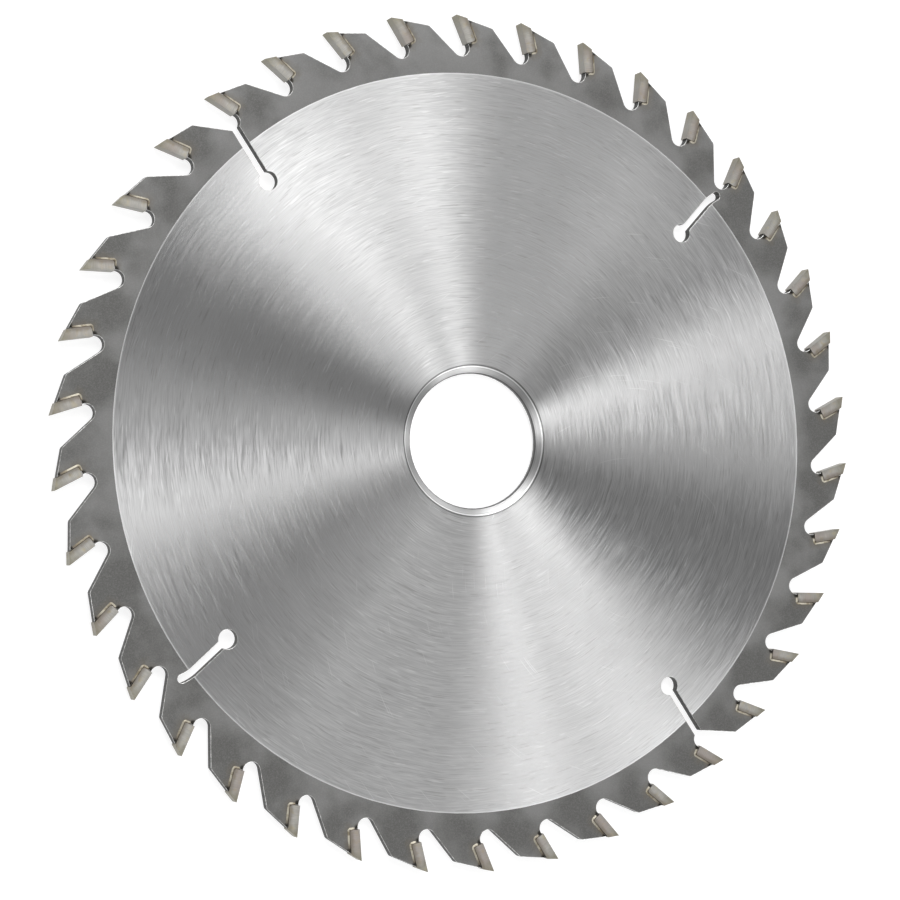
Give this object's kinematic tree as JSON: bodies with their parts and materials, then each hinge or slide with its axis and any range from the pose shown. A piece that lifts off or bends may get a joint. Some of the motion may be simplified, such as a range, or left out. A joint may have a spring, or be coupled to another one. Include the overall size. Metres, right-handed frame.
{
  "type": "circular saw blade",
  "caption": "Flat round steel saw plate with hooked carbide-tipped teeth, straight and curved expansion slots and a chamfered arbor bore.",
  "frame": {"origin": "on the blade's axis, level with the lowest tooth corners that the blade lies on", "axes": "+Z along the blade's axis, out of the face with the wide bore chamfer; seen from +Z the teeth cut anticlockwise"},
  "size_m": [0.1898, 0.19, 0.003],
  "materials": {
    "ground_steel": "hardened tool steel plate, circular-ground bright face inside a matt grey toothed rim",
    "carbide": "ground sintered tungsten carbide, satin warm grey",
    "braze": "silver solder bead, pale straw, smooth"
  },
  "bodies": {
    "root": {"saw_plate": "ground_steel", "carbide_tip_01": "carbide", "carbide_tip_02": "carbide", "carbide_tip_03": "carbide", "carbide_tip_04": "carbide", "carbide_tip_05": "carbide", "carbide_tip_06": "carbide", "carbide_tip_07": "carbide", "carbide_tip_08": "carbide", "carbide_tip_09": "carbide", "carbide_tip_10": "carbide", "carbide_tip_11": "carbide", "carbide_tip_12": "carbide", "carbide_tip_13": "carbide", "carbide_tip_14": "carbide", "carbide_tip_15": "carbide", "carbide_tip_16": "carbide", "carbide_tip_17": "carbide", "carbide_tip_18": "carbide", "carbide_tip_19": "carbide", "carbide_tip_20": "carbide", "carbide_tip_21": "carbide", "carbide_tip_22": "carbide", "carbide_tip_23": "carbide", "carbide_tip_24": "carbide", "carbide_tip_25": "carbide", "carbide_tip_26": "carbide", "carbide_tip_27": "carbide", "carbide_tip_28": "carbide", "carbide_tip_29": "carbide", "carbide_tip_30": "carbide", "carbide_tip_31": "carbide", "carbide_tip_32": "carbide", "carbide_tip_33": "carbide", "carbide_tip_34": "carbide", "carbide_tip_35": "carbide", "carbide_tip_36": "carbide", "carbide_tip_37": "carbide", "carbide_tip_38": "carbide", "braze_joints": "braze"}
  },
  "joints": []
}
